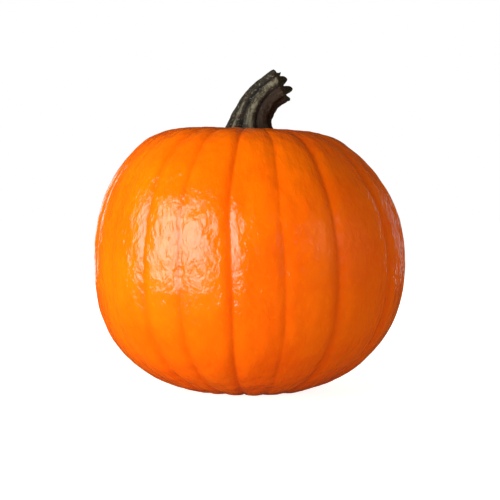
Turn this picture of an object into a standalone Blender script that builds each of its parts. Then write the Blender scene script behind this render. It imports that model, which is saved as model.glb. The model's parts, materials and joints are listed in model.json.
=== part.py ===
"""A ribbed orange pumpkin with its woody stem, as picked, standing on a table.

Lengths are in metres and +Z is up. The table is the plane z = 0, the origin lies under the middle of the
fruit, and the stem bends towards +X. An azimuth is in degrees: 0 at -Y, the fruit's front, growing
towards +X. A latitude is in degrees too: 90 at the crown, 0 at the widest level and -90 at the base.
"""

import math

import bmesh
import bpy
from mathutils import Matrix, Vector, noise

# The outline of the fruit, from which the ribs rise. An exponent of 2 is an ellipse, and more is boxier.
WIDTH = 0.250  # across the widest ribs
CROWN_RISE = 0.1182  # from the widest level up to the crown, before the hollow around the stem
BASE_DROP = 0.1088  # from the widest level down to the base, before the hollow around the scar
CROWN_EXPONENT = 2.10
CROWN_EXPONENT_LEAN = 0.09  # the left side of the crown is this much boxier, the right this much rounder
BASE_EXPONENT = 2.43
BASE_EXPONENT_LEAN = 0.07
CROWN_HOLLOW = 0.0160  # how far the crown sinks around the stem
CROWN_HOLLOW_RADIUS = 0.085
CROWN_LEAN = 0.0022  # how much lower the crown is on its right side
CROWN_LEAN_START = 0.02  # radii between which that lean grows
CROWN_LEAN_END = 0.11
CROWN_LEAN_LATITUDE = 45.0  # it fades away from this latitude down to the widest level
BASE_HOLLOW = 0.0070  # how far the base sinks around the blossom scar
BASE_HOLLOW_RADIUS = 0.0475
SCAR_RADIUS = 0.004  # the ribs fade away between the scar and this ring
SCAR_RING_RADIUS = 0.020
FLAT_PRESS = 0.0018  # thickness of rib flattened where the fruit rests

# The seat under the stem: a level disc, and the width of the ring in which it blends into the ribs.
SEAT_RADIUS = 0.0275
SEAT_BLEND = 0.010
SEAT_SINK = 0.0005  # how far it lies below the lowest groove there
SEAT_SEARCH_STEP = 0.5  # degrees of latitude between the places tried for its rim

# Each groove between two ribs, once round the fruit: azimuth, and depth as a share of the deepest.
GROOVES = (
    (-75.0, 0.80),
    (-57.0, 0.18),
    (-39.5, 0.75),
    (-24.2, 0.62),
    (-6.0, 1.00),
    (12.2, 0.40),
    (32.2, 0.85),
    (59.4, 0.80),
    (78.0, 0.70),
    (97.0, 0.90),
    (116.0, 0.60),
    (136.0, 1.00),
    (155.0, 0.50),
    (173.0, 0.80),
    (192.0, 0.65),
    (211.0, 0.95),
    (230.0, 0.55),
    (249.0, 0.85),
    (267.0, 0.60),
)
CREASE_DEPTH = 0.0019  # the narrow fold at the bottom of the deepest groove
CREASE_WIDTH = 1.7  # degrees in which the fold fades, at the widest level
CREASE_ROUNDING = 0.5  # degrees over which its bottom is rounded
RIB_SWELL = 0.0009  # how far the middle of a rib of usual width stands above its edges
RIB_WIDTH = 20.0  # that usual width, in degrees
RIB_VARIETY = 0.0006  # how much one rib may stand proud of the next
RIB_ROUNDNESS = 0.8  # below 1, a rib is flat in its middle and round at its edges
RIB_NOISE_STEP = 1.7  # how far apart two neighbouring ribs are read in the noise that sets their height
RIB_NOISE_START = (0.3, 0.5, 0.5)
POLE_DEEPENING = 0.45  # the folds are this share deeper near the crown and the base
POLE_DEEPENING_POWER = 3  # more keeps that nearer to the poles

# The mesh of the fruit.
COLUMNS_PER_RIB = 5
EDGE_CROWDING = 0.55  # 0 spaces a rib's columns evenly, and 1 crowds them against the grooves
LATITUDE_ROWS = 44

# The stem, bent in one plane. Its foot lies level on the seat.
FOOT_GAP = 0.0003  # clearance between the foot and the seat
FOOT_X = 0.0004  # how far its foot stands off the axis
STEM_LENGTH = 0.0485  # along its bent centreline
STEM_LEAN = 67.0  # degrees from upright at its cut end
STEM_BEND_AZIMUTH = 80.0
STEM_TWIST = -22.0  # degrees that its ridges wind round it, from the foot to the cut end
STEM_RADIUS = 0.0147
STEM_TAPER = 0.0022  # how much thinner it grows towards the end
FOOT_FLARE = 0.0070  # how much wider it is at the foot
FOOT_FLARE_REACH = 0.15  # share of the length in which the flare fades
END_FLARE = 0.0012  # how much wider it is at the cut end
END_FLARE_START = 0.8  # share of the length where that begins
RIDGE_HEIGHT = 0.0026
RIDGE_MIDDLE = 0.5  # the share of that height at which a ridge meets the stem's plain radius
RIDGE_SHARPNESS = 1.3  # 1 is evenly waved, and more is a narrower crest
# Each ridge along the stem: azimuth at the foot, and height as a share.
RIDGES = (
    (-82.0, 0.75),
    (-42.0, 0.70),
    (-3.0, 0.95),
    (44.0, 1.00),
    (88.0, 0.80),
    (132.0, 0.85),
    (178.0, 0.80),
    (226.0, 0.90),
)
# Each torn tip beyond the cut: azimuth at the foot, length, and degrees from its middle to its side. A
# length below 0 is a dip.
SPLINTERS = (
    (-74.0, -0.0006, 26.0),
    (-5.0, 0.0014, 20.0),
    (44.0, 0.0006, 24.0),
    (88.0, -0.0012, 26.0),
    (132.0, 0.0014, 16.0),
    (175.0, 0.0062, 17.0),
    (212.0, 0.0050, 15.0),
    (243.0, 0.0028, 14.0),
)
SPLINTER_BLUNTNESS = 0.7  # 1 is a parabola's tip, and less is blunter
CUT_WALL = 0.80  # radius, as a share of the stem's, where the cut dips inside the tips
CUT_WALL_TIP = 0.3  # share of a tip's length that is left there
PITH_RADIUS = 0.0052
PITH_SINK = 0.0020  # how far the pith lies behind the cut
COLUMNS_PER_RIDGE = 4
STEM_RINGS = 13

# Colours are linear red, green and blue.
RIND_COLOUR = (0.85, 0.13, 0.004)
RIND_ROUGHNESS = 0.32
CORK_COLOUR = (0.075, 0.062, 0.042)
CORK_ROUGHNESS = 0.75


def smoothstep(low, high, value):
    """0 below low, 1 above high, and a smooth rise between them."""
    share = min(1.0, max(0.0, (value - low) / (high - low)))
    return share * share * (3.0 - 2.0 * share)


def spans_of(azimuths):
    """(start, end) of each span between neighbouring azimuths, once round the circle."""
    following = list(azimuths[1:]) + [azimuths[0] + 360.0]
    return list(zip(azimuths, following))


def span_at(spans, azimuth):
    """(index, share) of the span that holds an azimuth, and how far along it the azimuth lies."""
    turned = (azimuth - spans[0][0]) % 360.0 + spans[0][0]
    for index, (start, end) in enumerate(spans):
        if turned <= end:
            return index, (turned - start) / (end - start)
    return 0, 0.0


RIBS = spans_of([azimuth for azimuth, _ in GROOVES])
RIDGE_SPANS = spans_of([azimuth for azimuth, _ in RIDGES])


def groove_depth(azimuth, radius):
    """Depth of the folds at an azimuth. Each fades away from its groove, and is wider near the axis."""
    widening = math.sqrt(WIDTH / 2 / max(radius, SCAR_RADIUS))
    depth = 0.0
    for groove, share in GROOVES:
        apart = abs((azimuth - groove + 180.0) % 360.0 - 180.0) / widening
        rounded = math.hypot(apart, CREASE_ROUNDING) - CREASE_ROUNDING
        depth += share * CREASE_DEPTH * math.exp(-rounded / CREASE_WIDTH)
    return depth


def rib_height(azimuth):
    """How far a rib stands out at an azimuth: most in its middle, and more on some ribs than on others."""
    rib, share = span_at(RIBS, azimuth)
    start, end = RIBS[rib]
    swell = RIB_SWELL * (end - start) / RIB_WIDTH
    place = Vector(RIB_NOISE_START) + Vector((RIB_NOISE_STEP * rib, 0.0, 0.0))
    variety = RIB_VARIETY * noise.noise(place)
    return (swell + variety) * math.sin(math.pi * share) ** RIB_ROUNDNESS


def outline(azimuth, latitude):
    """(radius, height, outward normal's radial and upright parts) of the fruit without its ribs."""
    across = math.cos(math.radians(latitude))
    up = math.sin(math.radians(latitude))
    if up > 0.0:
        exponent, lean, half_height = CROWN_EXPONENT, CROWN_EXPONENT_LEAN, CROWN_RISE
    else:
        exponent, lean, half_height = BASE_EXPONENT, BASE_EXPONENT_LEAN, BASE_DROP
    exponent -= lean * math.sin(math.radians(azimuth))
    half_width = WIDTH / 2 - RIB_SWELL
    reach = (across**exponent + abs(up) ** exponent) ** (-1.0 / exponent)
    radial = (reach * across) ** (exponent - 1.0) / half_width
    upright = math.copysign((reach * abs(up)) ** (exponent - 1.0) / half_height, up)
    length = math.hypot(radial, upright)
    return half_width * reach * across, half_height * reach * up, radial / length, upright / length


def hollow(radius, depth, hollow_radius):
    """Depth of a rounded hollow about the axis, at a radius."""
    share = min(1.0, radius / hollow_radius)
    return depth * (1.0 - share * share) ** 2


def skin_point(azimuth, latitude, seat_height=None):
    """A point of the fruit's skin. Inside the seat it lies at seat_height, if that is given."""
    radius, height, radial, upright = outline(azimuth, latitude)
    deepening = 1.0 + POLE_DEEPENING * abs(math.sin(math.radians(latitude))) ** POLE_DEEPENING_POWER
    relief = rib_height(azimuth) - groove_depth(azimuth, radius) * deepening
    relief *= smoothstep(SCAR_RADIUS, SCAR_RING_RADIUS, radius)
    height += relief * upright
    if latitude > 0.0:
        height -= hollow(radius, CROWN_HOLLOW, CROWN_HOLLOW_RADIUS)
        right = math.sin(math.radians(azimuth))
        lean = smoothstep(CROWN_LEAN_START, CROWN_LEAN_END, radius)
        height -= CROWN_LEAN * right * lean * smoothstep(0.0, CROWN_LEAN_LATITUDE, latitude)
        if seat_height is not None:
            outside = smoothstep(SEAT_RADIUS, SEAT_RADIUS + SEAT_BLEND, radius)
            height = seat_height + outside * (height - seat_height)
    else:
        height += hollow(radius, BASE_HOLLOW, BASE_HOLLOW_RADIUS)
    radius += relief * radial
    turn = math.radians(azimuth)
    return Vector((radius * math.sin(turn), -radius * math.cos(turn), height))


def seat_level():
    """Height of the seat: just below the lowest groove at its rim."""
    latitude = 90.0
    while outline(0.0, latitude)[0] < SEAT_RADIUS + SEAT_BLEND:
        latitude -= SEAT_SEARCH_STEP
    return min(skin_point(groove, latitude).z for groove, _ in GROOVES) - SEAT_SINK


def column_azimuth(column):
    """Azimuth of a mesh column. Each rib has as many columns, crowded towards its two grooves."""
    rib, place = divmod(column, COLUMNS_PER_RIB)
    share = place / COLUMNS_PER_RIB
    crowded = 0.5 - 0.5 * math.cos(math.pi * share)
    start, end = RIBS[rib]
    return start + (end - start) * (share + EDGE_CROWDING * (crowded - share))


def stand_on_table(mesh):
    """Centres the fruit over the origin, lowers it onto the table and flattens what would lie below."""
    low = Vector([min(vertex.co[axis] for vertex in mesh.verts) for axis in range(3)])
    high = Vector([max(vertex.co[axis] for vertex in mesh.verts) for axis in range(3)])
    middle = (low + high) / 2
    bmesh.ops.translate(mesh, verts=mesh.verts, vec=(-middle.x, -middle.y, -low.z - FLAT_PRESS))
    for vertex in mesh.verts:
        vertex.co.z = max(0.0, vertex.co.z)


def make_fruit():
    """The fruit as one closed solid: a sphere's rows and columns, each moved onto the skin."""
    seat = seat_level()
    columns = COLUMNS_PER_RIB * len(RIBS)
    mesh = bmesh.new()
    bmesh.ops.create_uvsphere(mesh, u_segments=columns, v_segments=LATITUDE_ROWS, radius=1.0)
    for vertex in mesh.verts:
        latitude = math.degrees(math.atan2(vertex.co.z, math.hypot(vertex.co.x, vertex.co.y)))
        column = round(math.atan2(vertex.co.y, vertex.co.x) / math.tau * columns) % columns
        vertex.co = skin_point(column_azimuth(column), latitude, seat)
    stand_on_table(mesh)
    return object_from("fruit", mesh, plain_material("rind", RIND_COLOUR, RIND_ROUGHNESS))


def ridge_at(azimuth):
    """Height share of the stem's ridges at an azimuth about its centreline."""
    index, share = span_at(RIDGE_SPANS, azimuth)
    _, height = RIDGES[index if share < 0.5 else (index + 1) % len(RIDGES)]
    return height * abs(math.cos(math.pi * share)) ** RIDGE_SHARPNESS


def tip_at(azimuth):
    """How far the torn edge stands beyond the cut at an azimuth."""
    tip = 0.0
    for middle, length, half_width in SPLINTERS:
        apart = abs((azimuth - middle + 180.0) % 360.0 - 180.0) / half_width
        tip += length * max(0.0, 1.0 - apart * apart) ** SPLINTER_BLUNTNESS
    return tip


def stem_radius(share, azimuth):
    """Distance from the stem's centreline to its surface, at a share of its length."""
    flare = math.exp(-share / FOOT_FLARE_REACH)
    radius = STEM_RADIUS + FOOT_FLARE * flare - STEM_TAPER * share
    radius += END_FLARE * smoothstep(END_FLARE_START, 1.0, share)
    return radius + RIDGE_HEIGHT * (ridge_at(azimuth) - RIDGE_MIDDLE) * (1.0 + flare)


def stem_frames(foot):
    """The centreline's point and its leaning turn at each ring, from the foot to the cut end."""
    bend = math.radians(STEM_BEND_AZIMUTH)
    towards = Vector((math.sin(bend), -math.cos(bend), 0.0))
    up = Vector((0.0, 0.0, 1.0))
    lean = math.radians(STEM_LEAN)
    frames = [(foot, Matrix.Identity(3))]
    for ring in range(1, STEM_RINGS + 1):
        middle = lean * (ring - 0.5) / STEM_RINGS
        step = (towards * math.sin(middle) + up * math.cos(middle)) * STEM_LENGTH / STEM_RINGS
        turn = Matrix.Rotation(lean * ring / STEM_RINGS, 3, up.cross(towards))
        frames.append((frames[-1][0] + step, turn))
    return frames


def stem_point(frame, share, azimuth, radius, beyond=0.0):
    """A point of the ring at a share of the length, and this far beyond that ring along the stem."""
    point, turn = frame
    angle = math.radians(azimuth + STEM_TWIST * share)
    return point + turn @ Vector((radius * math.sin(angle), -radius * math.cos(angle), beyond))


def extrude_ring(mesh, ring, places):
    """Extrudes a closed ring of vertices and puts each new one at its column's place."""
    column = mesh.verts.layers.int["column"]
    edges = [edge for edge in mesh.edges if edge.verts[0] in ring and edge.verts[1] in ring]
    made = bmesh.ops.extrude_edge_only(mesh, edges=edges)["geom"]
    added = {item for item in made if isinstance(item, bmesh.types.BMVert)}
    for vertex in added:
        vertex.co = places[vertex[column]]
    return added


def make_stem(seat_height):
    """The stem as one closed solid: its foot extruded along the bent centreline to the broken end."""
    frames = stem_frames(Vector((FOOT_X, 0.0, seat_height + FOOT_GAP)))
    azimuths = []
    for start, end in RIDGE_SPANS:
        azimuths += [start + (end - start) * i / COLUMNS_PER_RIDGE for i in range(COLUMNS_PER_RIDGE)]

    mesh = bmesh.new()
    column = mesh.verts.layers.int.new("column")
    bmesh.ops.create_circle(mesh, cap_ends=True, segments=len(azimuths), radius=1.0)
    for index, vertex in enumerate(mesh.verts):
        vertex[column] = index
        vertex.co = stem_point(frames[0], 0.0, azimuths[index], stem_radius(0.0, azimuths[index]))
    ring = set(mesh.verts)
    for step in range(1, STEM_RINGS):
        share = step / STEM_RINGS
        radii = [stem_radius(share, azimuth) for azimuth in azimuths]
        places = [stem_point(frames[step], share, *pair) for pair in zip(azimuths, radii)]
        ring = extrude_ring(mesh, ring, places)

    cut = frames[-1]
    tips, dips, pith = [], [], []
    for azimuth in azimuths:
        radius = stem_radius(1.0, azimuth)
        tip = tip_at(azimuth)
        tips.append(stem_point(cut, 1.0, azimuth, radius, tip))
        dips.append(stem_point(cut, 1.0, azimuth, CUT_WALL * radius, CUT_WALL_TIP * tip))
        pith.append(stem_point(cut, 1.0, azimuth, PITH_RADIUS, -PITH_SINK))
    for places in (tips, dips, pith):
        ring = extrude_ring(mesh, ring, places)
    bmesh.ops.contextual_create(mesh, geom=list(ring))
    return object_from("stem", mesh, plain_material("cork", CORK_COLOUR, CORK_ROUGHNESS))


def plain_material(name, colour, roughness):
    """A Principled material of one colour."""
    made = bpy.data.materials.new(name)
    made.use_nodes = True
    shader = made.node_tree.nodes["Principled BSDF"]
    shader.inputs["Base Color"].default_value = (*colour, 1.0)
    shader.inputs["Roughness"].default_value = roughness
    shader.inputs["Metallic"].default_value = 0.0
    return made


def object_from(name, mesh, material):
    """A smooth-shaded object of this mesh and material, with its faces pointing out."""
    bmesh.ops.recalc_face_normals(mesh, faces=mesh.faces)
    data = bpy.data.meshes.new(name)
    mesh.to_mesh(data)
    mesh.free()
    data.shade_smooth()
    data.materials.append(material)
    made = bpy.data.objects.new(name, data)
    bpy.context.scene.collection.objects.link(made)
    return made


def clear_scene():
    """Removes every object of the startup scene."""
    for old in list(bpy.data.objects):
        bpy.data.objects.remove(old)


def main():
    """Builds the fruit on the table, and the stem on the fruit's seat."""
    clear_scene()
    fruit = make_fruit()
    crown = [v.co for v in fruit.data.vertices if v.co.z > CROWN_RISE and v.co.xy.length < SEAT_RADIUS]
    make_stem(max(point.z for point in crown))


main()
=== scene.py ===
"""The looks of a ribbed orange pumpkin and its dried, bent stem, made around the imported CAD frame.

Lengths are in metres and +Z is up. The fruit stands on the floor at z = 0, its front faces -Y and its stem
bends towards +X. An azimuth is in degrees: 0 at -Y, growing towards +X. A latitude is in degrees too: 90
at the crown, 0 at the widest level and -90 at the base.
"""

import json
import logging
import math
from collections.abc import Iterable, Mapping, Sequence
from dataclasses import dataclass, field
from enum import Enum
from functools import partial

import bmesh
import bpy
from mathutils import Matrix, Vector, noise

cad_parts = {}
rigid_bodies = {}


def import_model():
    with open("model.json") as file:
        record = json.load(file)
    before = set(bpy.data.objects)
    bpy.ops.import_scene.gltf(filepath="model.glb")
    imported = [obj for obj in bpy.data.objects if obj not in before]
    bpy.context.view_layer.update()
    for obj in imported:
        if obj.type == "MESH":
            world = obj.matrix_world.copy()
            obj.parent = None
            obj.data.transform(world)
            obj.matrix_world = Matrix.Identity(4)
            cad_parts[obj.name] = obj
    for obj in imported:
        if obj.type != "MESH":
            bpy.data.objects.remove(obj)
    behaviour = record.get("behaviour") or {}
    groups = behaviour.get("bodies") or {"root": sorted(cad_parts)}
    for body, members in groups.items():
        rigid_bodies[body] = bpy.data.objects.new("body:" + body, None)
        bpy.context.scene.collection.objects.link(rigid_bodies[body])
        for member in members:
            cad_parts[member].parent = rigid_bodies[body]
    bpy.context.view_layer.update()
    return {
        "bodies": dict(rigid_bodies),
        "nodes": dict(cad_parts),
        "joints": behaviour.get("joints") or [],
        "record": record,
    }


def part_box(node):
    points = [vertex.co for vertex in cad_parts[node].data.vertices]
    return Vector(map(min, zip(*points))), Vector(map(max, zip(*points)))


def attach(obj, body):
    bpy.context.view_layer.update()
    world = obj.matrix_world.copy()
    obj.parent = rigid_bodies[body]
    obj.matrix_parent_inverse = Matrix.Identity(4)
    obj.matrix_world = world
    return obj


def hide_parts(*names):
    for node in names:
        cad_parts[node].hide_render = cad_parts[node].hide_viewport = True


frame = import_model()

LOG = logging.getLogger("pumpkin")
BODY = "root"
MM = 0.001
SEAT_SEARCH_STEP = 0.5  # degrees of latitude


class Slot(Enum):
    """The record's material slots."""

    RIND = "rind"
    CORK = "cork"


# ---------------------------------------------------------------- small helpers


def linear(code: str) -> tuple[float, float, float, float]:
    """Turns an sRGB hex colour to linear light.

    Args:
        code: The colour as "#RRGGBB".

    Returns:
        Red, green and blue as linear values, with an alpha of 1.
    """
    values = []
    for start in (1, 3, 5):
        value = int(code[start : start + 2], 16) / 255
        values.append(value / 12.92 if value <= 0.04045 else ((value + 0.055) / 1.055) ** 2.4)
    return (*values, 1.0)


def smoothstep(low: float, high: float, value: float) -> float:
    """Returns 0 below low, 1 above high, and a smooth rise between them."""
    share = min(1.0, max(0.0, (value - low) / (high - low)))
    return share * share * (3.0 - 2.0 * share)


def around(azimuth: float, radius: float, height: float) -> Vector:
    """Returns the point at this azimuth and distance from an upright axis."""
    turn = math.radians(azimuth)
    return Vector((radius * math.sin(turn), -radius * math.cos(turn), height))


def wavy(point: Iterable[float], wavelength: float, octaves: int = 1) -> float:
    """Smooth noise over space.

    Args:
        point: Where it is read, in metres.
        wavelength: The usual distance from one swell to the next, in metres.
        octaves: How many finer layers it has.

    Returns:
        A value that is mostly between -1 and 1.
    """
    scaled = Vector(point) / wavelength
    return noise.fractal(scaled, 1.0, 2.0, octaves) if octaves > 1 else noise.noise(scaled)


def spans_of(azimuths: Sequence[float]) -> list[tuple[float, float]]:
    """Returns the start and end of each span between neighbouring azimuths, once round the circle."""
    return list(zip(azimuths, [*azimuths[1:], azimuths[0] + 360.0]))


def span_at(spans: Sequence[tuple[float, float]], azimuth: float) -> tuple[int, float]:
    """Finds the span that holds an azimuth.

    Args:
        spans: The spans, from spans_of.
        azimuth: The azimuth.

    Returns:
        The span's index, and how far along it the azimuth lies, from 0 to 1.
    """
    turned = (azimuth - spans[0][0]) % 360.0 + spans[0][0]
    for index, (start, end) in enumerate(spans):
        if turned <= end:
            return index, (turned - start) / (end - start)
    return 0, 0.0


def extrude_ring(mesh: bmesh.types.BMesh, ring: list[bmesh.types.BMVert]) -> list[bmesh.types.BMVert]:
    """Extrudes a closed ring of vertices.

    Args:
        mesh: The mesh, whose vertices carry an integer layer named column.
        ring: The ring's vertices, by column.

    Returns:
        The new ring's vertices, by column, still where the old ones are.
    """
    column = mesh.verts.layers.int["column"]
    edges = [mesh.edges.get((ring[i - 1], ring[i])) for i in range(len(ring))]
    made = bmesh.ops.extrude_edge_only(mesh, edges=edges)["geom"]
    added = [item for item in made if isinstance(item, bmesh.types.BMVert)]
    return sorted(added, key=lambda vertex: vertex[column])


# ---------------------------------------------------------------- materials


def add_node(
    tree: bpy.types.NodeTree,
    kind: str,
    sockets: Mapping[str | int, object] | None = None,
    output: str | int = 0,
    **settings: object,
) -> bpy.types.NodeSocket | None:
    """Adds a node with its settings and links.

    Args:
        tree: The node tree.
        kind: The node's type, without its ShaderNode prefix.
        sockets: For each input, the value it holds or the output that it is linked from.
        output: The output to return.
        settings: Properties of the node.

    Returns:
        That output, or nothing where the node has none.
    """
    node = tree.nodes.new("ShaderNode" + kind)
    for name, value in settings.items():
        setattr(node, name, value)
    for name, value in (sockets or {}).items():
        if isinstance(value, bpy.types.NodeSocket):
            tree.links.new(value, node.inputs[name])
        else:
            node.inputs[name].default_value = value
    return node.outputs[output] if node.outputs else None


def blank_material(name: str) -> tuple[bpy.types.Material, bpy.types.NodeTree]:
    """Makes a material with nothing in it.

    Args:
        name: The material's name.

    Returns:
        The material and its empty node tree.
    """
    material = bpy.data.materials.new(name)
    material.use_nodes = True
    material.node_tree.nodes.clear()
    return material, material.node_tree


# Sockets of a colour Mix node, by number, because its other kinds of sockets have the same names.
FACTOR, FIRST, SECOND, MIXED = 0, 6, 7, 2
SMOOTH = "SMOOTHSTEP"


@dataclass(frozen=True)
class WaxyRind:
    """The living rind of a ripe field pumpkin, polished by its own thin wax.

    The pigment lies just under a clear skin, so the orange is deep and even, with pale strokes along the
    ribs. The folds are painted a darker, redder orange as their shade. The wax gives a clear gloss, which
    fine wrinkles break up.
    """

    orange: str = "#E56400"
    deep_orange: str = "#E15A00"
    pale_orange: str = "#EC7100"
    fold_shade_orange: str = "#D84F00"
    # The folds' darker, redder orange is painted shade in the creases.
    collar_green: str = "#B8862E"
    scar_tan: str = "#A98B5E"
    patch: float = 38 * MM  # size of a patch of deeper orange
    patch_range: tuple[float, float] = (0.35, 0.68)  # where in its noise a patch begins and is full
    stroke: float = 3.2 * MM  # width of a pale stroke
    stroke_range: tuple[float, float] = (0.50, 0.80)
    stroke_most: float = 0.55  # how much of the pale orange a stroke shows
    fold_shade_most: float = 0.45
    collar_most: float = 0.60
    scar_most: float = 1.0
    wrinkle: float = 6.2 * MM  # from one wrinkle to the next
    cell: float = 7.5 * MM  # size of the plates between the hairline wrinkles
    hairline: float = 0.14  # width of a hairline, as a share of a plate
    pore: float = 1.3 * MM  # skin pores, drawn about three times too coarse so that they show
    wrinkle_weight: float = 0.72  # each one's share of the relief
    plate_weight: float = 0.04
    pore_weight: float = 0.06
    wax_relief: float = 2.1 * MM  # height of the whole of that relief, at the wax's surface
    rind_relief: float = 0.5 * MM  # and what is left of it in the pigment, which light blurs
    roughness: float = 0.15
    index: float = 1.40  # a watery plant wax
    pigment_roughness: float = 0.5
    translucency: float = 0.08
    light_spread: tuple[float, float, float] = (5 * MM, 1.6 * MM, 0.6 * MM)  # of red, green and blue

    def colour(
        self, tree: bpy.types.NodeTree, place: bpy.types.NodeSocket, grain: bpy.types.NodeSocket
    ) -> bpy.types.NodeSocket:
        """Builds the rind's colour.

        Args:
            tree: The node tree.
            place: Object coordinates.
            grain: Coordinates that are stretched along the ribs.

        Returns:
            The colour.
        """
        wire = partial(add_node, tree)
        patches = wire("TexNoise", {"Vector": place, "Scale": 1 / self.patch, "Detail": 3.0})
        share = {"Value": patches, "From Min": self.patch_range[0], "From Max": self.patch_range[1]}
        share = wire("MapRange", share, interpolation_type=SMOOTH)
        colours = {FACTOR: share, FIRST: linear(self.orange), SECOND: linear(self.deep_orange)}
        colour = wire("Mix", colours, MIXED, data_type="RGBA")
        strokes = {"Vector": grain, "Scale": 1 / self.stroke, "Detail": 3.0, "Roughness": 0.6}
        share = {
            "Value": wire("TexNoise", strokes),
            "From Min": self.stroke_range[0],
            "From Max": self.stroke_range[1],
            "To Max": self.stroke_most,
        }
        share = wire("MapRange", share, interpolation_type=SMOOTH)
        colours = {FACTOR: share, FIRST: colour, SECOND: linear(self.pale_orange)}
        colour = wire("Mix", colours, MIXED, data_type="RGBA")
        for layer, tint, most in (
            # painted shade: the folds are coloured darker and redder
            ("groove", self.fold_shade_orange, self.fold_shade_most),
            ("collar", self.collar_green, self.collar_most),
            ("scar", self.scar_tan, self.scar_most),
        ):
            share = wire("Attribute", None, "Fac", attribute_name=layer)
            share = wire("MapRange", {"Value": share, "To Max": most}, interpolation_type=SMOOTH)
            colour = wire(
                "Mix", {FACTOR: share, FIRST: colour, SECOND: linear(tint)}, MIXED, data_type="RGBA"
            )
        return colour

    def height(
        self, tree: bpy.types.NodeTree, place: bpy.types.NodeSocket, grain: bpy.types.NodeSocket
    ) -> bpy.types.NodeSocket:
        """Builds the height of the fine relief.

        Args:
            tree: The node tree.
            place: Object coordinates.
            grain: Coordinates that are stretched along the ribs.

        Returns:
            The height, from 0 to about 1.
        """
        wire = partial(add_node, tree)
        wrinkles = {"Vector": grain, "Scale": 1 / self.wrinkle, "Detail": 2.4, "Distortion": 0.4}
        wrinkles = wire("TexNoise", wrinkles)
        cells = {"Vector": grain, "Scale": 1 / self.cell}
        cells = wire("TexVoronoi", cells, "Distance", feature="DISTANCE_TO_EDGE")
        plates = wire("MapRange", {"Value": cells, "From Max": self.hairline}, interpolation_type=SMOOTH)
        pores = wire("TexNoise", {"Vector": place, "Scale": 1 / self.pore})
        height: object = 0.0
        for part, weight in (
            (wrinkles, self.wrinkle_weight),
            (plates, self.plate_weight),
            (pores, self.pore_weight),
        ):
            height = wire("Math", {0: part, 1: weight, 2: height}, operation="MULTIPLY_ADD")
        return height

    def material(self) -> bpy.types.Material:
        """Builds the material.

        Returns:
            The finished material.
        """
        made, tree = blank_material("waxy_rind")
        wire = partial(add_node, tree)
        place = wire("TexCoord", None, "Object")
        grain = wire("Attribute", None, "Vector", attribute_name="grain")
        height = self.height(tree, place, grain)
        wax, rind = (
            wire("Bump", {"Height": height, "Distance": relief, "Strength": 1.0})
            for relief in (self.wax_relief, self.rind_relief)
        )
        sockets = {
            "Base Color": self.colour(tree, place, grain),
            "Roughness": self.pigment_roughness,
            "Specular IOR Level": 0.0,
            "Coat Weight": 1.0,
            "Coat Roughness": self.roughness,
            "Coat IOR": self.index,
            "Coat Normal": wax,
            "Subsurface Weight": self.translucency,
            "Subsurface Radius": self.light_spread,
            "Subsurface Scale": 1.0,
            "Normal": rind,
        }
        wire("OutputMaterial", {"Surface": wire("BsdfPrincipled", sockets)})
        return made


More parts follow.
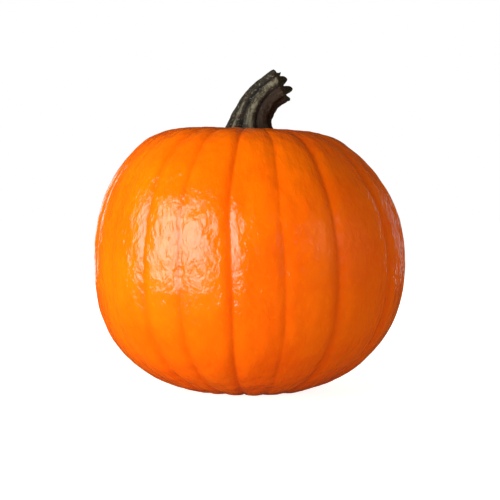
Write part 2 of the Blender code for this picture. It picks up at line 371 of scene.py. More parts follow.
@dataclass(frozen=True)
class DriedStalk:
    """The stem's dried outer bark and fibre.

    It has dried in the sun to a hard cork: olive brown on the sides, matt all over, with fine fibres along
    it and pale corky specks. The ridges are grey-tan where they are worn and where a painted highlight lies
    on their crests, the furrows hold a near-black painted shade, and the side inside the bend, away from
    the key light, is painted a dark brown shade. The broken end shows lighter, torn fibre.
    """

    # The furrows' near-black is painted shade.
    furrow_shade: str = "#0E0B07"
    side: str = "#2B281D"
    # The ridges' grey-tan is partly wear and partly a painted highlight on the crests.
    ridge: str = "#6B6755"
    speck: str = "#767160"
    brown: str = "#2A1B10"
    shaded_side: str = "#26160A"  # painted shade: darker brown on the side inside the bend, away from the key light
    torn: str = "#3A3426"
    fibre: float = 1.1 * MM  # width of a fibre, drawn about three times too coarse so that it shows
    patch: float = 3.4 * MM
    brown_patch: float = 0.6  # a brown patch's frequency, as a share of a worn patch's
    speck_size: float = 1.7 * MM
    relief: float = 1.4 * MM
    crest_highlight_weight: float = 0.70  # how much each one adds to the painted highlight on the crests and to the wear
    fibre_weight: float = 0.62
    patch_weight: float = 0.60
    lit_and_worn_range: tuple[float, float] = (0.5, 1.3)  # the crest exposure and wear over which the roughness changes
    roughness: tuple[float, float] = (0.62, 0.80)
    index: float = 1.45
    specular: float = 0.25

    def material(self) -> bpy.types.Material:
        """Builds the material.

        Returns:
            The finished material.
        """
        made, tree = blank_material("dried_stalk")
        wire = partial(add_node, tree)
        place = wire("TexCoord", None, "Object")
        grain = wire("Attribute", None, "Vector", attribute_name="grain")
        crest = wire("Attribute", None, "Fac", attribute_name="crest")
        cut = wire("Attribute", None, "Fac", attribute_name="cut")
        shaded_side = wire("Attribute", None, "Fac", attribute_name="shaded_side")
        fibres = {"Vector": grain, "Scale": 1 / self.fibre, "Detail": 4.0, "Roughness": 0.65}
        fibres = wire("TexNoise", fibres)
        patches = wire("TexNoise", {"Vector": place, "Scale": 1 / self.patch, "Detail": 3.0})
        # How lit and worn the bark is: the crests' painted highlight plus the fibres' and patches' wear. It
        # sets the colour and the roughness.
        lit_and_worn: object = 0.0
        for part, weight in (
            (crest, self.crest_highlight_weight),
            (fibres, self.fibre_weight),
            (patches, self.patch_weight),
        ):
            lit_and_worn = wire("Math", {0: part, 1: weight, 2: lit_and_worn}, operation="MULTIPLY_ADD")
        specks = wire("TexNoise", {"Vector": place, "Scale": 1 / self.speck_size, "Detail": 1.0})
        browned = wire("TexNoise", {"Vector": place, "Scale": self.brown_patch / self.patch})
        # The base colour is the furrows' near-black painted shade.
        colour: object = linear(self.furrow_shade)
        # Each layer: what it follows, where it begins and is full, how much of it shows, and its colour.
        for source, start, end, most, tint in (
            (lit_and_worn, 0.62, 1.00, 1.0, self.side),
            # grey-tan: partly a painted highlight on the crests, partly wear
            (lit_and_worn, 1.05, 1.42, 1.0, self.ridge),
            (browned, 0.48, 0.66, 0.60, self.brown),
            (specks, 0.60, 0.72, 0.55, self.speck),
            # dark brown painted shade on the side inside the bend, away from the key light
            (shaded_side, 0.58, 0.84, 0.88, self.shaded_side),
            (cut, 0.0, 1.0, 1.0, self.torn),
        ):
            share = {"Value": source, "From Min": start, "From Max": end, "To Max": most}
            share = wire("MapRange", share, interpolation_type=SMOOTH)
            colour = wire(
                "Mix", {FACTOR: share, FIRST: colour, SECOND: linear(tint)}, MIXED, data_type="RGBA"
            )
        bump = wire("Bump", {"Height": fibres, "Distance": self.relief, "Strength": 1.0})
        gloss = {
            "Value": lit_and_worn,
            "From Min": self.lit_and_worn_range[0],
            "From Max": self.lit_and_worn_range[1],
            "To Min": self.roughness[0],
            "To Max": self.roughness[1],
        }
        sockets = {
            "Base Color": colour,
            "Roughness": wire("MapRange", gloss),
            "IOR": self.index,
            "Specular IOR Level": self.specular,
            "Normal": bump,
        }
        wire("OutputMaterial", {"Surface": wire("BsdfPrincipled", sockets)})
        return made


@dataclass(frozen=True)
class PaleTable:
    """Matt pale acrylic, lit from below as a product table is.

    It looks white and keeps only a faint shadow, and it throws little of its own light at the fruit.
    """

    pale: str = "#BFA57A"
    white: str = "#FFFFFF"
    glow: float = 0.90  # under the fruit
    rim_glow: float = 1.0
    spread: float = 0.45  # from the fruit to where the glow reaches its most
    upward_glow: float = 0.24  # how much of it reaches the fruit
    roughness: float = 0.5
    specular: float = 0.1

    def material(self) -> bpy.types.Material:
        """Builds the material.

        Returns:
            The finished material.
        """
        made, tree = blank_material("pale_acrylic")
        wire = partial(add_node, tree)
        place = wire("TexCoord", None, "Object")
        away = wire("VectorMath", {0: place}, "Value", operation="LENGTH")
        glow = {"Value": away, "From Max": self.spread, "To Min": self.glow, "To Max": self.rim_glow}
        glow = wire("MapRange", glow, interpolation_type=SMOOTH)
        seen = wire("LightPath", None, "Is Camera Ray")
        cast = wire("LightPath", None, "Is Diffuse Ray")
        seen = wire("Math", {0: cast, 1: self.upward_glow, 2: seen}, operation="MULTIPLY_ADD")
        sockets = {
            "Base Color": linear(self.pale),
            "Roughness": self.roughness,
            "Specular IOR Level": self.specular,
            "Emission Color": linear(self.white),
            "Emission Strength": wire("Math", {0: glow, 1: seen}, operation="MULTIPLY"),
        }
        wire("OutputMaterial", {"Surface": wire("BsdfPrincipled", sockets)})
        return made


# ---------------------------------------------------------------- the fruit


@dataclass(frozen=True)
class Groove:
    """A fold between two ribs.

    Attributes:
        azimuth: Where it is.
        depth: Its depth as a share of the deepest.
    """

    azimuth: float
    depth: float


@dataclass(frozen=True)
class Ribs:
    """The folds and ribs round the fruit. Widths are degrees at the widest level."""

    grooves: tuple[Groove, ...]
    fold_depth: float = 1.15 * MM
    fold_width: float = 5.0
    fold_curve: float = 1.7  # 1 is a straight-sided valley, and more is steeper towards its bottom
    crease_depth: float = 0.80 * MM
    crease_width: float = 0.95
    rounding: float = 0.45
    swell: float = 0.5 * MM
    swell_width: float = 20.0
    swell_bluntness: float = 0.8  # 1 is a sine across the rib, and less is fuller at its sides
    variety: float = 0.4 * MM
    variety_start: float = 0.3  # the first rib's place in the noise
    variety_step: float = 1.7  # and from each rib's to the next one's

    @property
    def spans(self) -> list[tuple[float, float]]:
        """The ribs, each as its start and end."""
        return spans_of([groove.azimuth for groove in self.grooves])

    def fold(self, apart: float, widening: float) -> float:
        """Depth of the deepest fold.

        Args:
            apart: Degrees from its bottom.
            widening: How many times wider than usual it is.

        Returns:
            The depth in metres.
        """
        rounded = (math.hypot(apart, self.rounding) - self.rounding) / widening
        valley = max(0.0, 1.0 - rounded / self.fold_width) ** self.fold_curve
        return self.fold_depth * valley + self.crease_depth * math.exp(-rounded / self.crease_width)

    def relief(self, azimuth: float, widening: float) -> tuple[float, float]:
        """The ribs' relief at an azimuth.

        Args:
            azimuth: The azimuth.
            widening: How many times wider than usual the folds are.

        Returns:
            How far the skin stands out there, and how far down a fold it lies, from 0 to 1.
        """
        spans = self.spans
        rib, share = span_at(spans, azimuth)
        start, end = spans[rib]
        before, after = self.grooves[rib], self.grooves[(rib + 1) % len(self.grooves)]
        down = before.depth * self.fold((end - start) * share, widening)
        down += after.depth * self.fold((end - start) * (1.0 - share), widening)
        swell = self.swell * (end - start) / self.swell_width
        place = Vector((self.variety_step * rib + self.variety_start, 0.5, 0.5))
        variety = self.variety * noise.noise(place)
        out = (swell + variety) * math.sin(math.pi * share) ** self.swell_bluntness
        return out - down, min(1.0, down / self.fold_depth)


FRUIT_GROOVES = (
    Groove(-75.0, 0.80),
    Groove(-57.0, 0.18),
    Groove(-39.5, 0.75),
    Groove(-24.2, 0.62),
    Groove(-6.0, 1.00),
    Groove(12.2, 0.40),
    Groove(32.2, 0.85),
    Groove(59.4, 0.80),
    Groove(78.0, 0.70),
    Groove(97.0, 0.90),
    Groove(116.0, 0.60),
    Groove(136.0, 1.00),
    Groove(155.0, 0.50),
    Groove(173.0, 0.80),
    Groove(192.0, 0.65),
    Groove(211.0, 0.95),
    Groove(230.0, 0.55),
    Groove(249.0, 0.85),
    Groove(267.0, 0.60),
)


@dataclass
class Fruit:
    """The ribbed fruit, with its fine wrinkles, the seat of its stem and its blossom scar.

    Attributes:
        width: Its width, from the CAD node.
    """

    width: float
    ribs: Ribs = field(default_factory=lambda: Ribs(FRUIT_GROOVES))
    columns_per_rib: int = 20
    rows: int = 236
    edge_crowding: float = 0.45
    crown_rise_share: float = 0.4728  # of the width, from the widest level to the crown before its hollow
    base_drop_share: float = 0.4352
    crown_exponent: float = 2.10
    crown_exponent_lean: float = 0.09
    base_exponent: float = 2.43
    base_exponent_lean: float = 0.07
    crown_lean: float = 2.2 * MM
    lean_radii: tuple[float, float] = (0.02, 0.11)  # where the crown's lean begins and is full
    lean_latitude: float = 45.0
    crown_hollow: tuple[float, float] = (0.064, 0.34)  # depth and reach, as shares of the width
    base_hollow: tuple[float, float] = (0.028, 0.19)
    flat_press: float = 1.8 * MM
    grain_length: float = 80 * MM  # how far the grain runs in a radian, which is shorter than the skin does
    seat_radius: float = 17 * MM
    seat_blend: float = 17 * MM
    seat_height: float = 0.0  # worked out when the mesh is built
    crown_calm: float = 0.5  # how much of the ribs' relief is lost towards the crown
    base_calm: float = 0.3
    calm_power: int = 3  # higher keeps that loss nearer to the poles
    pole_radius: float = 4 * MM  # within which the ribs have no relief
    calm_radius: float = 20 * MM  # and beyond which they have all of it
    wander_most: float = 1.6  # degrees
    wander_radius: float = 0.9  # where its noise is read
    wander_latitude: float = 45.0  # the latitude over which the wander changes
    upright_squeeze: float = 0.62  # the relief runs longer up the ribs than across them
    dent: float = 0.7 * MM
    dent_size: float = 62 * MM
    undulation: float = 0.50 * MM
    undulation_size: float = 15 * MM
    wrinkle: float = 0.24 * MM
    wrinkle_size: float = 7 * MM
    collar_radii: tuple[float, float] = (24 * MM, 33 * MM)  # where the collar begins to fade, and ends
    collar_fray: float = 4 * MM
    collar_fray_size: float = 9 * MM
    scar_radii: tuple[float, float] = (5 * MM, 9 * MM)
    scar_fray: float = 2 * MM
    scar_fray_size: float = 5 * MM
    scar_height: float = 1.4 * MM
    scar_level: float = 0.6  # share of that height before its crumbs
    scar_crumb: float = 2.5 * MM
    finish: WaxyRind = WaxyRind()

    @property
    def crown_rise(self) -> float:
        """From the widest level up to the crown, before the hollow around the stem."""
        return self.crown_rise_share * self.width

    @property
    def base_drop(self) -> float:
        """From the widest level down to the base, before the hollow around the scar."""
        return self.base_drop_share * self.width

    def outline(self, azimuth: float, latitude: float) -> tuple[float, float, float, float]:
        """The fruit's rounded outline, without its ribs.

        Args:
            azimuth: The azimuth.
            latitude: The latitude.

        Returns:
            The distance from the axis, the height over the widest level, and the outward normal's radial
            and upright parts.
        """
        across = math.cos(math.radians(latitude))
        up = math.sin(math.radians(latitude))
        if up > 0.0:
            exponent, lean, half_height = self.crown_exponent, self.crown_exponent_lean, self.crown_rise
        else:
            exponent, lean, half_height = self.base_exponent, self.base_exponent_lean, self.base_drop
        exponent -= lean * math.sin(math.radians(azimuth))
        half_width = self.width / 2 - self.ribs.swell
        reach = (across**exponent + abs(up) ** exponent) ** (-1.0 / exponent)
        radial = (reach * across) ** (exponent - 1.0) / half_width
        upright = math.copysign((reach * abs(up)) ** (exponent - 1.0) / half_height, up)
        length = math.hypot(radial, upright)
        return half_width * reach * across, half_height * reach * up, radial / length, upright / length

    def hollow(self, radius: float, shares: tuple[float, float]) -> float:
        """The depth of a rounded hollow about the axis.

        Args:
            radius: Where it is read.
            shares: The hollow's depth and reach, as shares of the width.

        Returns:
            The depth there.
        """
        depth, reach = (share * self.width for share in shares)
        share = min(1.0, radius / reach)
        return depth * (1.0 - share * share) ** 2

    def wander(self, azimuth: float, latitude: float) -> float:
        """Returns how far the ribs wander sideways there, in degrees."""
        place = around(azimuth, self.wander_radius, latitude / self.wander_latitude)
        return self.wander_most * noise.noise(place) * math.cos(math.radians(latitude)) ** 0.5

    def skin(self, azimuth: float, latitude: float) -> tuple[Vector, dict[str, float]]:
        """A point of the skin, before the fruit is set down on the floor.

        Args:
            azimuth: The azimuth of the mesh column, along which the ribs run straight.
            latitude: The latitude.

        Returns:
            The point, and the share of fold, collar and scar there.
        """
        radius, height, radial, upright = self.outline(azimuth, latitude)
        widening = math.sqrt(self.width / 2 / max(radius, self.pole_radius))
        relief, fold = self.ribs.relief(azimuth, widening)
        calmer = self.crown_calm if latitude > 0.0 else self.base_calm
        relief *= 1.0 - calmer * abs(math.sin(math.radians(latitude))) ** self.calm_power
        relief *= smoothstep(self.pole_radius, self.calm_radius, radius)
        turned = azimuth + self.wander(azimuth, latitude)
        place = around(turned, radius, height * self.upright_squeeze)
        relief += self.dent * wavy(place, self.dent_size)
        relief += self.undulation * wavy(place, self.undulation_size, 2)
        relief += self.wrinkle * wavy(place, self.wrinkle_size, 2)
        height += relief * upright
        collar = scar = 0.0
        if latitude > 0.0:
            height -= self.hollow(radius, self.crown_hollow)
            right = math.sin(math.radians(azimuth))
            tilt = smoothstep(*self.lean_radii, radius) * smoothstep(0.0, self.lean_latitude, latitude)
            height -= self.crown_lean * right * tilt
            outside = smoothstep(self.seat_radius, self.seat_radius + self.seat_blend, radius)
            height = self.seat_height + outside * (height - self.seat_height)
            frayed = radius + self.collar_fray * wavy(place, self.collar_fray_size, 2)
            collar = 1.0 - smoothstep(*self.collar_radii, frayed)
        else:
            height += self.hollow(radius, self.base_hollow)
            frayed = radius + self.scar_fray * wavy(place, self.scar_fray_size, 2)
            scar = 1.0 - smoothstep(*self.scar_radii, frayed)
            height -= self.scar_height * scar * (self.scar_level + wavy(place, self.scar_crumb, 2))
        # The fold share is also the mask of the rind's painted shade in the folds.
        shares = {"groove": fold, "collar": collar, "scar": scar}
        return around(turned, radius + relief * radial, height), shares

    def column_azimuth(self, column: int) -> float:
        """The azimuth of a mesh column. Every rib has as many columns, crowded towards its folds.

        Args:
            column: The column.

        Returns:
            Its azimuth.
        """
        rib, place = divmod(column, self.columns_per_rib)
        share = place / self.columns_per_rib
        crowded = 0.5 - 0.5 * math.cos(math.pi * share)
        start, end = self.ribs.spans[rib]
        return start + (end - start) * (share + self.edge_crowding * (crowded - share))

    def find_seat(self) -> float:
        """Finds the seat under the stem: as low as the lowest fold at the edge of its blend.

        Returns:
            The seat's height over the widest level.
        """
        latitude = 90.0
        while self.outline(0.0, latitude)[0] < self.seat_radius + self.seat_blend:
            latitude -= SEAT_SEARCH_STEP
        return min(self.skin(groove.azimuth, latitude)[0].z for groove in self.ribs.grooves)

    def build(self) -> bpy.types.Object:
        """Builds the fruit: a sphere's rows and columns, each moved onto the skin.

        Returns:
            The finished piece.
        """
        self.seat_height = self.find_seat()
        columns = self.columns_per_rib * len(self.ribs.spans)
        azimuths = [self.column_azimuth(column) for column in range(columns)]
        mesh = bmesh.new()
        bmesh.ops.create_uvsphere(mesh, u_segments=columns, v_segments=self.rows, radius=1.0)
        shares = {name: mesh.verts.layers.float.new(name) for name in ("groove", "collar", "scar")}
        grain = mesh.verts.layers.float_vector.new("grain")
        for vertex in mesh.verts:
            latitude = math.degrees(math.atan2(vertex.co.z, math.hypot(vertex.co.x, vertex.co.y)))
            column = round(math.atan2(vertex.co.y, vertex.co.x) / math.tau * columns) % columns
            vertex.co, values = self.skin(azimuths[column], latitude)
            along = math.radians(latitude) * self.grain_length
            vertex[grain] = around(azimuths[column], self.width / 2, along)
            for name, value in values.items():
                vertex[shares[name]] = value
        self.set_down(mesh)
        return finish_piece("rind", mesh, self.finish.material(), "fruit")

    def set_down(self, mesh: bmesh.types.BMesh) -> None:
        """Centres the fruit, lowers it onto the floor and flattens the ribs that it rests on.

        Args:
            mesh: The fruit's mesh.
        """
        low = Vector([min(vertex.co[axis] for vertex in mesh.verts) for axis in range(3)])
        high = Vector([max(vertex.co[axis] for vertex in mesh.verts) for axis in range(3)])
        middle = (low + high) / 2
        lift = -low.z - self.flat_press
        bmesh.ops.translate(mesh, verts=mesh.verts, vec=(-middle.x, -middle.y, lift))
        for vertex in mesh.verts:
            vertex.co.z = max(0.0, vertex.co.z)
        self.seat_height += lift


# ---------------------------------------------------------------- the stem


@dataclass(frozen=True)
class Ridge:
    """A ridge along the stem.

    Attributes:
        azimuth: Where it is about the centreline, at the foot.
        height: Its height as a share of the highest.
    """

    azimuth: float
    height: float


@dataclass(frozen=True)
class Splinter:
    """A torn tip of bark that stands beyond the cut. A dip has a length below 0.

    Attributes:
        azimuth: The azimuth at the foot of the fibre that it ends.
        length: How far it stands beyond the cut.
        half_width: From its middle to its side, in degrees.
    """

    azimuth: float
    length: float
    half_width: float


STEM_RIDGES = (
    Ridge(-82.0, 0.75),
    Ridge(-42.0, 0.70),
    Ridge(-3.0, 0.95),
    Ridge(44.0, 1.00),
    Ridge(88.0, 0.80),
    Ridge(132.0, 0.85),
    Ridge(178.0, 0.80),
    Ridge(226.0, 0.90),
)
SPLINTERS = (
    Splinter(-74.0, -0.6 * MM, 26.0),
    Splinter(-5.0, 1.4 * MM, 20.0),
    Splinter(44.0, 0.6 * MM, 24.0),
    Splinter(88.0, -1.2 * MM, 26.0),
    Splinter(132.0, 1.4 * MM, 16.0),
    Splinter(175.0, 6.2 * MM, 17.0),
    Splinter(212.0, 5.0 * MM, 15.0),
    Splinter(243.0, 2.8 * MM, 14.0),
)


@dataclass(frozen=True)
class EndRing:
    """A ring of the broken end's dished face.

    Attributes:
        inward: Its radius as a share of the bark's.
        kept: How much of the bark's torn edge it follows.
        sink: How far it lies below the cut.
    """

    inward: float
    kept: float
    sink: float


BROKEN_END = (
    EndRing(0.95, 0.92, 0.0),
    EndRing(0.88, 0.55, 0.2 * MM),
    EndRing(0.80, 0.18, 0.7 * MM),
    EndRing(0.68, 0.05, 1.2 * MM),
    EndRing(0.52, 0.0, 1.8 * MM),
    EndRing(0.36, 0.0, 2.3 * MM),
    EndRing(0.20, 0.0, 2.6 * MM),
    EndRing(0.08, 0.0, 2.7 * MM),
)


@dataclass
class Stem:
    """The bent, ridged stem with its broken end.

    Attributes:
        foot: The middle of its foot on the fruit.
    """

    foot: Vector
    ridges: tuple[Ridge, ...] = STEM_RIDGES
    splinters: tuple[Splinter, ...] = SPLINTERS
    broken_end: tuple[EndRing, ...] = BROKEN_END
    sunk: float = 3.5 * MM  # how far the foot goes into the rind
    length: float = 48.5 * MM
    lean: float = 67.0
    bend_azimuth: float = 80.0
    radius: float = 14.7 * MM
    taper: float = 2.2 * MM
    foot_flare: float = 7.0 * MM
    foot_flare_reach: float = 0.15  # of the length, over which the flare falls to about a third
    end_flare: float = 1.2 * MM
    end_start: float = 0.8  # share of the length where the end's flare and torn edge begin
    ridge_height: float = 3.0 * MM
    ridge_sharpness: float = 0.9  # 1 is evenly waved, and less is a broad ridge between narrow furrows
    fibre_height: float = 0.9 * MM
    fibre_width: float = 4.2 * MM
    fibre_squeeze: float = 0.16  # a fibre is longer than it is wide by one over this
    fibre_exposure: float = 1.2  # how much a raised fibre counts as exposed, beside a ridge
    bark_height: float = 0.35 * MM
    bark_size: float = 5 * MM
    noise_radius: float = 14 * MM  # where the noise round the stem is read
    grain_squeeze: float = 0.10
    tear_height: float = 0.7 * MM
    tear_width: float = 4.2 * MM
    fine_tear_height: float = 0.3 * MM
    fine_tear_width: float = 1.6 * MM
    splinter_bluntness: float = 0.7  # 1 is a parabola, and less is a blunter tip
    rough_height: float = 0.9 * MM  # of the broken end's face
    rough_size: float = 2.2 * MM
    twist: float = -22.0  # how far the ridges wind round it from foot to broken end
    rings: int = 96
    columns_per_ridge: int = 16
    finish: DriedStalk = DriedStalk()

    def ridge_at(self, azimuth: float) -> float:
        """The height of the ridges.

        Args:
            azimuth: The azimuth about the centreline.

        Returns:
            The height there, as a share of the highest.
        """
        spans = spans_of([ridge.azimuth for ridge in self.ridges])
        index, share = span_at(spans, azimuth)
        nearer = self.ridges[index if share < 0.5 else (index + 1) % len(self.ridges)]
        return nearer.height * abs(math.cos(math.pi * share)) ** self.ridge_sharpness

    def radius_at(self, share: float, azimuth: float) -> tuple[float, float]:
        """The stem's surface.

        Args:
            share: The place along the stem, from 0 at the foot to 1 at the broken end.
            azimuth: The azimuth about the centreline.

        Returns:
            The distance from the centreline, and how exposed the place is: 0 deep in a furrow, 1 on a crest.
        """
        flare = math.exp(-share / self.foot_flare_reach)
        radius = self.radius + self.foot_flare * flare - self.taper * share
        radius += self.end_flare * smoothstep(self.end_start, 1.0, share)
        ridge = self.ridge_height * (self.ridge_at(azimuth) - 0.5) * (1.0 + flare)
        place = around(azimuth, self.noise_radius, share * self.length)
        squeezed = around(azimuth, self.noise_radius, share * self.length * self.fibre_squeeze)
        fibre = self.fibre_height * wavy(squeezed, self.fibre_width, 3)
        fibre += self.bark_height * wavy(place, self.bark_size, 3)
        exposed = 0.5 + (ridge / (1.0 + flare) + self.fibre_exposure * fibre) / self.ridge_height
        return radius + ridge + fibre, exposed

    @property
    def azimuths(self) -> list[float]:
        """The mesh columns, evenly spaced from each crest to the next.

        Returns:
            The azimuth of each column at the stem's foot.
        """
        azimuths = []
        for start, end in spans_of([ridge.azimuth for ridge in self.ridges]):
            step = (end - start) / self.columns_per_ridge
            azimuths += [start + step * column for column in range(self.columns_per_ridge)]
        return azimuths

    def frames(self) -> list[tuple[Vector, Matrix]]:
        """The bent centreline.

        Returns:
            Its point and leaning turn at each ring, from the foot to the broken end.
        """
        towards = around(self.bend_azimuth, 1.0, 0.0)
        up = Vector((0.0, 0.0, 1.0))
        lean = math.radians(self.lean)
        frames = [(self.foot.copy(), Matrix.Identity(3))]
        for ring in range(1, self.rings + 1):
            middle = lean * (ring - 0.5) / self.rings
            step = (towards * math.sin(middle) + up * math.cos(middle)) * self.length / self.rings
            turn = Matrix.Rotation(lean * ring / self.rings, 3, up.cross(towards))
            frames.append((frames[-1][0] + step, turn))
        return frames

    def tip_at(self, azimuth: float) -> float:
        """The bark's torn edge.

        Args:
            azimuth: The azimuth at the foot of the fibre that ends there.

        Returns:
            How far the edge stands beyond the cut.
        """
        place = around(azimuth, self.noise_radius, 0.0)
        torn = self.tear_height * wavy(place, self.tear_width, 2)
        torn += self.fine_tear_height * wavy(place, self.fine_tear_width)
        for splinter in self.splinters:
            apart = abs((azimuth - splinter.azimuth + 180.0) % 360.0 - 180.0) / splinter.half_width
            torn += splinter.length * max(0.0, 1.0 - apart * apart) ** self.splinter_bluntness
        return torn

    def place_ring(
        self,
        mesh: bmesh.types.BMesh,
        ring: Sequence[bmesh.types.BMVert],
        frame: tuple[Vector, Matrix],
        share: float,
        inward: float,
        heights: Sequence[float],
        torn: float,
    ) -> None:
        """Puts a ring's vertices round the centreline, and notes what the finish needs to know of them.

        Args:
            mesh: The stem's mesh.
            ring: The ring's vertices, by column.
            frame: The centreline's point and leaning turn there.
            share: The place along the stem, from 0 at the foot to 1 at the broken end.
            inward: The ring's radius as a share of the bark's.
            heights: How far each vertex stands beyond the frame, by column.
            torn: 1 on the broken end, and 0 on the bark.
        """
        floats = mesh.verts.layers.float
        crest, cut, shaded_side = floats["crest"], floats["cut"], floats["shaded_side"]
        grain = mesh.verts.layers.float_vector["grain"]
        point, turn = frame
        for vertex, azimuth, height in zip(ring, self.azimuths, heights):
            radius, exposed = self.radius_at(share, azimuth)
            turned = azimuth + self.twist * share
            vertex.co = point + turn @ around(turned, radius * inward, height)
            along = share * self.length * self.grain_squeeze
            vertex[grain] = around(azimuth, self.noise_radius * inward, along)
            # How exposed it is, which sets the crests' painted highlight and the furrows' painted shade.
            vertex[crest] = exposed
            vertex[cut] = torn
            # How far the place faces into the bend, away from the key light: where the stem's painted shade
            # lies.
            vertex[shaded_side] = 0.5 + 0.5 * math.cos(math.radians(azimuth - self.bend_azimuth))

    def end_height(self, end: EndRing, azimuth: float) -> float:
        """The height of the broken end's face.

        Args:
            end: The ring of the face.
            azimuth: The azimuth at the foot of the fibre that ends there.

        Returns:
            The height over the cut.
        """
        place = around(azimuth, self.noise_radius * end.inward, end.inward)
        rough = self.rough_height * wavy(place, self.rough_size, 2)
        return end.kept * self.tip_at(azimuth) - end.sink + rough * (1.0 - end.kept)

    def build(self) -> bpy.types.Object:
        """Builds the stem: its foot extruded ring by ring to the broken end, and the end dished inwards.

        Returns:
            The finished piece.
        """
        frames = self.frames()
        azimuths = self.azimuths
        mesh = bmesh.new()
        column = mesh.verts.layers.int.new("column")
        mesh.verts.layers.float_vector.new("grain")
        for layer in ("crest", "cut", "shaded_side"):
            mesh.verts.layers.float.new(layer)
        bmesh.ops.create_circle(mesh, cap_ends=True, segments=len(azimuths), radius=1.0)
        for index, vertex in enumerate(mesh.verts):
            vertex[column] = index
        ring = list(mesh.verts)
        self.place_ring(mesh, ring, frames[0], 0.0, 1.0, [-self.sunk] * len(azimuths), 0.0)
        tips = [self.tip_at(azimuth) for azimuth in azimuths]
        for step, frame in enumerate(frames):
            share = step / self.rings
            grown = smoothstep(self.end_start, 1.0, share)
            ring = extrude_ring(mesh, ring)
            self.place_ring(mesh, ring, frame, share, 1.0, [grown * tip for tip in tips], 0.0)
        for end in self.broken_end:
            ring = extrude_ring(mesh, ring)
            heights = [self.end_height(end, azimuth) for azimuth in azimuths]
            self.place_ring(mesh, ring, frames[-1], 1.0, end.inward, heights, 1.0)
        closed = bmesh.ops.contextual_create(mesh, geom=ring)["faces"]
        bmesh.ops.poke(mesh, faces=closed)
        return finish_piece("stalk", mesh, self.finish.material(), "stem")


# ---------------------------------------------------------------- finishing, stage and camera


def finish_piece(
    name: str, mesh: bmesh.types.BMesh, material: bpy.types.Material, node: str
) -> bpy.types.Object:
    """Makes a piece of a mesh, dresses it and sets it in the frame.

    Args:
        name: The piece's name.
        mesh: Its mesh, which is freed.
        material: Its material.
        node: The CAD node that it stands for.

    Returns:
        The piece.
    """
    bmesh.ops.recalc_face_normals(mesh, faces=mesh.faces)
    data = bpy.data.meshes.new(name)
    mesh.to_mesh(data)
    mesh.free()
    data.shade_smooth()
    data.materials.append(material)
    piece = bpy.data.objects.new(name, data)
    bpy.context.scene.collection.objects.link(piece)
    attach(piece, BODY)
    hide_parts(node)
    LOG.info("%s: %d faces, for %s", name, len(data.polygons), node)
    return piece


@dataclass(frozen=True)
class Softbox:
    """A rectangular studio light that faces the fruit.

    Attributes:
        name: Its name.
        azimuth: The direction it stands in, seen from the fruit.
        distance: Its distance from the fruit's axis.
        bottom: Height of its lower edge.
        top: Height of its upper edge.
        width: Its width.
        radiance: Its brightness.
        mirrored: Whether the wax mirrors it. A light without this one only brightens.
    """

    name: str
    azimuth: float
    distance: float
    bottom: float
    top: float
    width: float
    radiance: float
    mirrored: bool = True

    def build(self) -> None:
        """Adds the light to the scene."""
        tall = self.top - self.bottom
        data = bpy.data.lights.new(self.name, "AREA")
        data.shape = "RECTANGLE"
        data.size = self.width
        data.size_y = tall
        data.energy = self.radiance * math.pi * self.width * tall
        light = bpy.data.objects.new(self.name, data)
        light.location = around(self.azimuth, self.distance, self.bottom + tall / 2)
        light.rotation_euler = around(self.azimuth, -1.0, 0.0).to_track_quat("-Z", "Y").to_euler()
        light.visible_camera = False
        light.visible_glossy = self.mirrored
        bpy.context.scene.collection.objects.link(light)


SOFTBOXES = (
    Softbox("key_softbox", -46.0, 0.65, 0.005, 0.55, 0.68, 5.95),
    Softbox("key_hot_middle", -47.0, 0.64, 0.09, 0.44, 0.38, 4.4),
    Softbox("fill_card", 43.0, 0.80, 0.24, 0.40, 0.12, 2.0),
    Softbox("fill_wall", 72.0, 1.20, 0.005, 0.80, 1.20, 1.4, mirrored=False),
    Softbox("back_wall", 166.0, 1.20, 0.005, 0.80, 1.00, 3.6, mirrored=False),
    Softbox("back_right_strip", 141.0, 0.90, 0.01, 0.36, 0.045, 2.2),
    Softbox("back_left_strip", -155.0, 0.90, 0.01, 0.30, 0.12, 2.2),
)


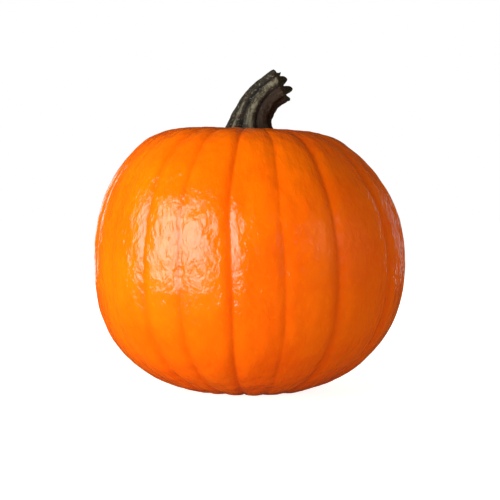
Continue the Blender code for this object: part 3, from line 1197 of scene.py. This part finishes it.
@dataclass(frozen=True)
class Studio:
    """The pale table, the lights, the surroundings and the camera."""

    table: float = 8.0
    warm: str = "#FFEAD0"
    surround: float = 0.52  # brightness of the walls, as they light the fruit
    ceiling: float = 0.10
    mirrored_surround: float = 0.04  # as the wax mirrors them
    focal_length: float = 100.0  # millimetres, as is the sensor's width
    sensor_width: float = 36.0
    distance: float = 1.12
    elevation: float = 3.0
    aim_height: float = 0.1105

    def lay_table(self) -> None:
        """Adds the table top under the fruit."""
        mesh = bmesh.new()
        bmesh.ops.create_grid(mesh, x_segments=1, y_segments=1, size=self.table / 2)
        data = bpy.data.meshes.new("floor")
        mesh.to_mesh(data)
        mesh.free()
        data.materials.append(PaleTable().material())
        floor = bpy.data.objects.new("floor", data)
        floor.visible_glossy = False  # so that the wax doesn't mirror it, and the orange stays deep
        bpy.context.scene.collection.objects.link(floor)

    def light(self) -> None:
        """Adds the softboxes and the surroundings, which look white and light the fruit dimly."""
        for softbox in SOFTBOXES:
            softbox.build()
        world = bpy.data.worlds.new("studio")
        world.use_nodes = True
        tree = world.node_tree
        tree.nodes.clear()
        seen = add_node(tree, "LightPath", None, "Is Camera Ray")
        mirrored = add_node(tree, "LightPath", None, "Is Glossy Ray")
        towards = add_node(tree, "TexCoord", None, "Generated")
        upward = add_node(tree, "SeparateXYZ", {"Vector": towards}, "Z")
        strength = {"Value": upward, "To Min": self.surround, "To Max": self.ceiling}
        strength = add_node(tree, "MapRange", strength)
        strength = {"Value": mirrored, "To Min": strength, "To Max": self.mirrored_surround}
        strength = add_node(tree, "MapRange", strength)
        strength = add_node(tree, "MapRange", {"Value": seen, "To Min": strength})
        tint = {FACTOR: seen, FIRST: linear(self.warm), SECOND: linear("#FFFFFF")}
        tint = add_node(tree, "Mix", tint, MIXED, data_type="RGBA")
        sky = add_node(tree, "Background", {"Color": tint, "Strength": strength})
        add_node(tree, "OutputWorld", {"Surface": sky})
        bpy.context.scene.world = world

    def place_camera(self) -> None:
        """Adds the camera, a little above the fruit's middle and looking slightly down."""
        data = bpy.data.cameras.new("camera")
        data.lens = self.focal_length
        data.sensor_width = self.sensor_width
        camera = bpy.data.objects.new("camera", data)
        aim = Vector((0.0, 0.0, self.aim_height))
        lift = math.radians(self.elevation)
        back = around(0.0, self.distance * math.cos(lift), self.distance * math.sin(lift))
        camera.location = aim + back
        camera.rotation_euler = (-back).to_track_quat("-Z", "Y").to_euler()
        bpy.context.scene.collection.objects.link(camera)
        bpy.context.scene.camera = camera

    def build(self) -> None:
        """Sets up the whole studio."""
        self.lay_table()
        self.light()
        self.place_camera()
        bpy.context.scene.view_settings.view_transform = "Standard"


def main() -> None:
    """Builds the fruit, its stem and the studio, in that order."""
    logging.basicConfig(level=logging.INFO, format="%(message)s")
    low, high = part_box("fruit")
    Fruit(high.x - low.x).build()
    Stem(Vector((0.0, 0.0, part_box("stem")[0].z))).build()
    Studio().build()


if __name__ == "__main__":
    main()
